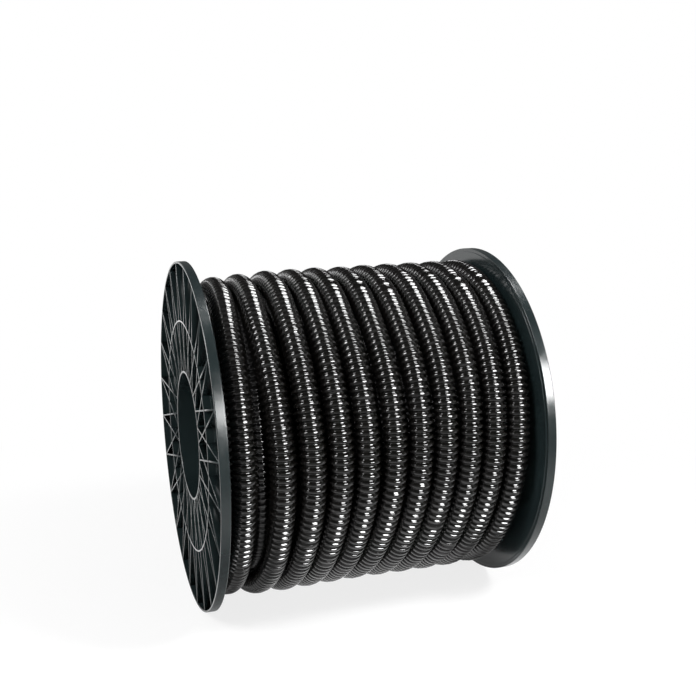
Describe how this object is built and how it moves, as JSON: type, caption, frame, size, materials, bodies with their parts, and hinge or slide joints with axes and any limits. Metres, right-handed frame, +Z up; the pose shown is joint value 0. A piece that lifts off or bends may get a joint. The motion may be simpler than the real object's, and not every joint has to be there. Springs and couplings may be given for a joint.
{
  "type": "reel of corrugated conduit",
  "caption": "Flanged plastic reel on its rims, wound in two layers with flexible corrugated conduit, with an open spindle bore.",
  "frame": {"origin": "on the floor under the middle of the reel, which stands on the rims of its two flanges", "axes": "+Z up; X is the reel's axis, with the first turn of the outer layer against the flange at -X; +Y points to the back"},
  "size_m": [0.3676, 0.4, 0.4],
  "materials": {
    "reel_plastic": "semi-gloss moulded plastic, dark green-black",
    "barrel_plastic": "plain moulded plastic, black",
    "conduit_plastic": "glossy corrugated plastic, near black"
  },
  "bodies": {
    "root": {"flange_left": "reel_plastic", "flange_right": "reel_plastic", "barrel": "barrel_plastic", "conduit": "conduit_plastic"}
  },
  "joints": []
}
